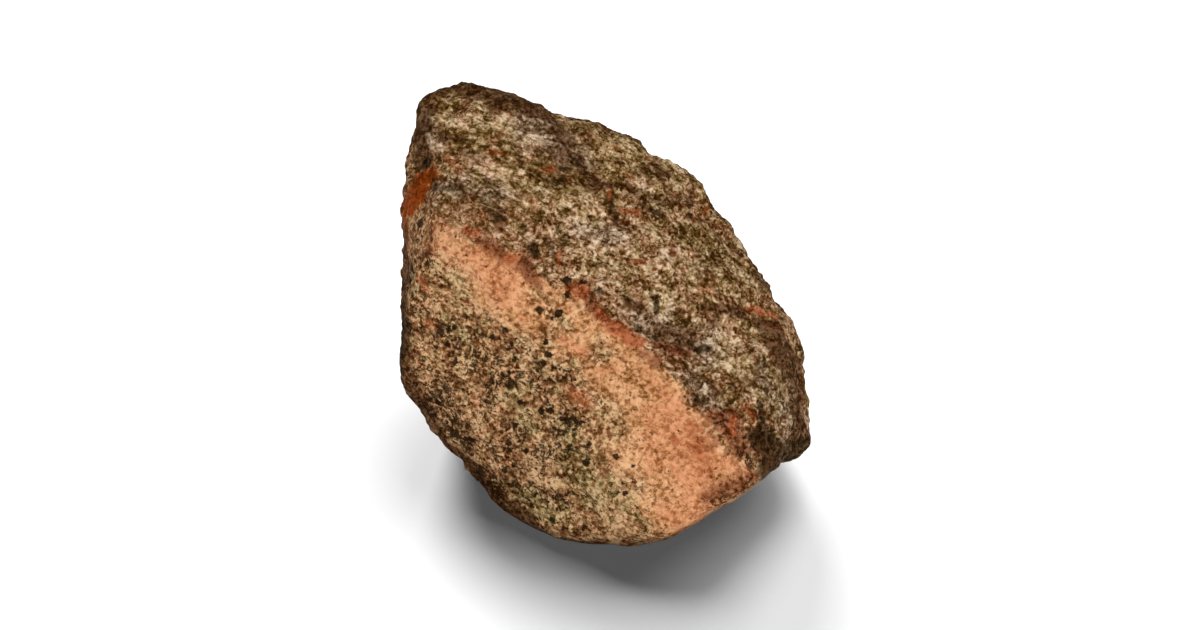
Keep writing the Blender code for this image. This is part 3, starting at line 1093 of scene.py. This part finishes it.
STAINS: dict[Stain, StainFinish] = {
    Stain.BLUSH: StainFinish(chart(160, 88, 50), chart(252, 172, 124), 0.6),
    Stain.BROWN_AND_PAINTED_SHADE: StainFinish(chart(38, 16, 0), chart(136, 92, 57), 0.86, 1.7),
    # Brown stain in places, and painted shade along the rims and the ridge's valley.
    Stain.BRICK: StainFinish(chart(56, 22, 2), chart(176, 100, 64), 0.8, 1.4),
    Stain.RUST: StainFinish(chart(104, 42, 10), chart(220, 128, 82), 0.85),
    Stain.OCHRE: StainFinish(chart(96, 38, 0), chart(198, 92, 24), 0.98),
    Stain.SOOT: StainFinish(chart(18, 8, 0), chart(84, 61, 32), 0.88, 1.4),
}


@dataclass(frozen=True)
class StoneFinish:
    """The stone's one material, from its crust, its break and its stains.

    tooth is how deep its finest roughness goes, in metres.
    """

    roughness: float = 0.8
    gloss: float = 0.02
    tooth: float = 0.3 * MM

    def material(self) -> bpy.types.Material:
        """Makes the material.

        Returns:
            The material, which reads the skin's layers.
        """
        recipe = Recipe("weathered stone")
        crust_share = self._crust_share(recipe)
        colour = self._broken(recipe).under(self._crust(recipe), crust_share)
        colour = self._stained(recipe, colour)
        spots = recipe.layer(Ground.SPOTS) + recipe.blur(1.5, 0.39, detail=4, roughness=0.7) * 3.2
        colour = colour.under(SPECK_BLACK, spots.eased(0.35, 0.6) * 0.94)
        recipe.feed(recipe.shader.inputs["Base Color"], colour)
        recipe.feed(recipe.shader.inputs["Roughness"], self.roughness)
        recipe.feed(recipe.shader.inputs["Specular IOR Level"], self.gloss)
        recipe.feed(recipe.shader.inputs["Normal"], self._tooth(recipe, colour, crust_share))
        return recipe.material

    def _crust_share(self, recipe: Recipe) -> Term:
        """Says where the crust is, with a ragged edge in which its grains thin out.

        Args:
            recipe: the material being written.

        Returns:
            The crust's share, from 0 on the break to 1 on the crust.
        """
        loose, _, _ = recipe.grains(1.1, 0.31)
        ragged = recipe.blur(3, 0.34, detail=4, roughness=0.65, twist=0.8) * 1.5 + (loose - 0.5) * 0.3
        return (recipe.layer(Ground.CRUST) + ragged).eased(0.38, 0.62)

    def _crust(self, recipe: Recipe) -> Term:
        """Mixes the crust's own colours, before any stain.

        Args:
            recipe: the material being written.

        Returns:
            The crust's colour.
        """
        crown, brink = recipe.layer(Ground.CROWN), recipe.layer(Ground.BRINK)
        # Light and dark: mineral grains, curls and fibres, bright chips and black gaps.
        grain, _, _ = recipe.grains(0.9, 0.11)
        curls = recipe.blur(1.4, 0.13, detail=5, roughness=0.7, twist=0.8)
        fibres = recipe.blur(1.2, 0.47, detail=4, roughness=0.62, twist=0.8, sizes=(3.2, 0.8, 1.0))
        drift = recipe.blur(4, 0.23, detail=3, roughness=0.6, twist=0.6, sizes=(1.7, 0.8, 1.0))
        fine = recipe.blur(0.8, 0.37, detail=3)
        chips = recipe.blur(0.9, 0.97, detail=2, twist=1.6).eased(0.12, 0.2)
        gaps = recipe.blur(1.3, 0.07, detail=2, twist=1.6).eased(0.13, 0.22)
        tone = (grain - 0.5) * 0.3 + curls * 1.3 + fine * 0.8 + fibres * crown * 1.1 + drift * 0.75
        tone = tone + chips * 0.2 - gaps * 0.19
        # Painted shade: the crust is darker in the low places of its relief.
        tone = tone * (1.12 - crown * 0.3) - recipe.layer(Ground.PAINTED_HOLLOW_SHADE) * 0.14 - crown * 0.02 + 0.51
        tone = tone + recipe.layer(Stain.CHALK) * 0.17 - brink * 0.02

        # Its three minerals, and red grains among them.
        olive = recipe.blur(4.5, 0.83, detail=3, roughness=0.6, twist=0.4) * 2
        olive = olive + recipe.layer(Stain.OLIVE) * 0.3 + crown * 0.1 - brink * 0.25
        colour = PINK_CRUST.of(tone).under(OLIVE_CRUST.of(tone), olive.eased(-0.2, 0.25))
        ash = recipe.layer(Stain.ASH) * 0.6 + recipe.blur(6, 0.87, detail=3) * 1.2
        colour = colour.under(ASHEN_CRUST.of(tone), ash.eased(0, 0.6) * 0.8)
        red = recipe.blur(2.2, 0.91, detail=3).eased(0.12, 0.26)
        return colour.under(STAINS[Stain.BRICK].light, red * 0.4)

    def _broken(self, recipe: Recipe) -> Term:
        """Mixes the break's own colours and its specks, before any stain.

        Args:
            recipe: the material being written.

        Returns:
            The break's colour.
        """
        specks, crowds = recipe.layer(Ground.SPECKS), recipe.layer(Stain.PEPPER)
        pepper = specks.or_more(crowds) + specks * crowds * 0.4
        grit = recipe.layer(Ground.GRIT).or_more(pepper)
        grain, other, _ = recipe.grains(0.8, 0.53)
        cloud = recipe.blur(4.5, 0.19, detail=4, roughness=0.62, twist=0.4)
        mottle = recipe.blur(1.2, 0.57, detail=5, roughness=0.7, twist=0.3)
        chalk = recipe.layer(Stain.CHALK) * 0.2
        smooth = SMOOTH_BREAK.of(cloud * 0.95 + mottle * 1.6 + (grain - 0.5) * 0.26 + chalk + 0.515)
        tone = cloud * 1.1 + mottle * 1.7 + (grain - 0.5) * 0.44 + chalk + pepper * 0.02 + 0.533
        olive = recipe.blur(2.6, 0.77, detail=3) * 1.5 + recipe.layer(Stain.OLIVE) * 0.5
        gritty = GRITTY_BREAK.of(tone).under(OLIVE_BREAK.of(tone), olive.eased(-0.1, 0.35))
        colour = smooth.under(gritty, (grit + mottle * 0.6).eased(0.05, 0.8))

        # Brown flecks, and then large and small black specks.
        crowd = recipe.blur(5, 0.67, detail=2)
        flecks = (grit * 0.12 + crowd * 0.25 + 0.1 - other).eased(-0.04, 0.04)
        colour = colour.under(FLECK_BROWN, flecks * 0.7)
        large = recipe.blur(1.9, 0.29, detail=5, roughness=0.8, twist=1.1)
        small = recipe.blur(0.9, 0.73, detail=3, roughness=0.6, twist=0.3)
        crowding = crowd * pepper * 0.3
        small = small + (1 - recipe.layer(Ground.CLEAN)) * 0.05 + grit * 0.08 + pepper * 0.07
        dark = (large + pepper * 0.2 + crowding).eased(0.235, 0.29) * 0.95
        dark = dark.or_more((small + crowding).eased(0.25, 0.34) * 0.9)
        return colour.under(SPECK_BLACK, dark)

    def _stained(self, recipe: Recipe, colour: Term) -> Term:
        """Lays the stains, and the shade painted among them, over the stone's own colours.

        Args:
            recipe: the material being written.
            colour: the stone's own colours.

        Returns:
            The stained colour.
        """
        ragged = recipe.blur(1.6, 0.59, detail=4, roughness=0.65, twist=0.6)
        pale = colour.paleness() * 1.2 - 0.25
        mottle = recipe.blur(1.2, 0.43, detail=5, roughness=0.7)
        for stain, finish in STAINS.items():
            shade = pale + mottle * finish.mottle
            share = (recipe.layer(stain) + ragged * 1.3).eased(0.15, 0.85) * finish.full
            colour = colour.under(shade.ramp((0.0, finish.dark), (1.0, finish.light)), share)
        return colour

    def _tooth(self, recipe: Recipe, colour: Term, crust_share: Term) -> Term:
        """Adds the finest roughness, too small for the skin's own points. Pale grains stand proud.

        Args:
            recipe: the material being written.
            colour: the stone's colour.
            crust_share: where the crust is.

        Returns:
            The roughened normal.
        """
        fine = recipe.blur(0.55, 0.61, detail=3, roughness=0.65)
        bump = recipe.node("ShaderNodeBump")
        recipe.feed(bump.inputs["Height"], colour.paleness() + fine)
        recipe.feed(bump.inputs["Distance"], self.tooth)
        recipe.feed(bump.inputs["Strength"], crust_share * 0.5 + 0.25)
        return Term(recipe, bump.outputs["Normal"])


# ---------------------------------------------------------------- the studio


@dataclass(frozen=True)
class Lamp:
    """A large soft lamp, far away.

    towards is the way from the stone to it, strength is its light in watts per square metre, and
    spread is how wide it looks from the stone, in degrees.
    """

    name: str
    towards: tuple[float, float, float]
    strength: float
    spread: float

    def build(self, lit: bpy.types.Object) -> None:
        """Makes the lamp, for one object alone.

        Args:
            lit: the only object that it lights. The others still cast their shadows there.
        """
        lamp = bpy.data.lights.new(self.name, "SUN")
        lamp.energy = self.strength
        lamp.angle = math.radians(self.spread)
        stand = bpy.data.objects.new(self.name, lamp)
        stand.rotation_mode = "QUATERNION"
        stand.rotation_quaternion = Vector(self.towards).to_track_quat("Z", "Y")
        bpy.context.scene.collection.objects.link(stand)
        receivers = bpy.data.collections.new(f"lit by the {self.name}")
        receivers.objects.link(lit)
        stand.light_linking.receiver_collection = receivers


@dataclass
class Studio:
    """A white floor, soft lamps and a camera square-on to the show side.

    floor_white is the share of light that the floor sends back. The stone and the floor have lamps
    of their own, so that the stone is lit from the front and its shadow falls forward. view_width is
    how much the picture spans at the heart, which is heart_right of the picture's middle, in metres.
    """

    side: ShowSide
    stone: bpy.types.Object
    floor_size: float = 6.0
    floor_white: float = 0.9
    stone_lamp: Lamp = Lamp("stone lamp", (0.12, -0.36, 0.92), 2.9, 20)
    floor_lamps: tuple[Lamp, ...] = (
        Lamp("low floor lamp", (-0.30, 0.81, 0.51), 4.5, 31),
        Lamp("high floor lamp", (0.18, 0.52, 0.83), 2.1, 30),
        Lamp("side floor lamp", (0.58, 0.46, 0.67), 1.2, 34),
    )
    room_light: float = 0.048
    lens: float = 85.0
    film: float = 36.0
    view_width: float = 0.300
    heart_right: float = 1.25 * MM

    def build(self) -> None:
        """Makes the floor, the light and the camera."""
        floor = self._floor()
        for lamp in self.floor_lamps:
            lamp.build(floor)
        self.stone_lamp.build(self.stone)
        self._room()
        self._camera()

    def _floor(self) -> bpy.types.Object:
        """Lays the pale floor that the stone lies on.

        Returns:
            The floor.
        """
        bpy.ops.mesh.primitive_plane_add(size=self.floor_size)
        floor = bpy.context.active_object
        floor.name = "floor"
        material = bpy.data.materials.new("white card")
        material.use_nodes = True
        shader = material.node_tree.nodes["Principled BSDF"]
        white = self.floor_white
        shader.inputs["Base Color"].default_value = (white, white, white, 1)
        shader.inputs["Roughness"].default_value = 1.0
        shader.inputs["Specular IOR Level"].default_value = 0.0
        floor.data.materials.append(material)
        return floor

    def _room(self) -> None:
        """Fills the room with even white light."""
        world = bpy.data.worlds.new("white room")
        world.use_nodes = True
        background = world.node_tree.nodes["Background"]
        background.inputs["Color"].default_value = (1, 1, 1, 1)
        background.inputs["Strength"].default_value = self.room_light
        bpy.context.scene.world = world

    def _camera(self) -> None:
        """Sets up the camera, square-on to the show side, with the whole stone in view."""
        camera = bpy.data.cameras.new("camera")
        camera.lens = self.lens
        camera.sensor_width = self.film
        camera.clip_start = 1 * MM
        camera.shift_x = -self.heart_right / self.view_width
        stand = bpy.data.objects.new("camera", camera)
        distance = self.view_width * self.lens / self.film
        stand.location = self.side.heart + self.side.out * distance
        stand.rotation_mode = "QUATERNION"
        stand.rotation_quaternion = self.side.out.to_track_quat("Z", "Y")
        bpy.context.scene.collection.objects.link(stand)
        bpy.context.scene.camera = stand
        bpy.context.scene.view_settings.view_transform = "Standard"


def main() -> None:
    """Builds the stone and its studio."""
    logging.basicConfig(level=logging.INFO, format="%(message)s")
    low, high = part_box("meteorite")
    middle = (low + high) / 2
    side = ShowSide(Vector((middle.x, middle.y + HEART_BACK, low.z + HEART_HEIGHT)))

    stone = Stone(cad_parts["meteorite"], side)
    piece = stone.build()
    stone.dress(piece, StoneFinish())
    log.info("%s: %d faces", piece.name, len(piece.data.polygons))

    Studio(side, piece).build()


if __name__ == "__main__":
    main()
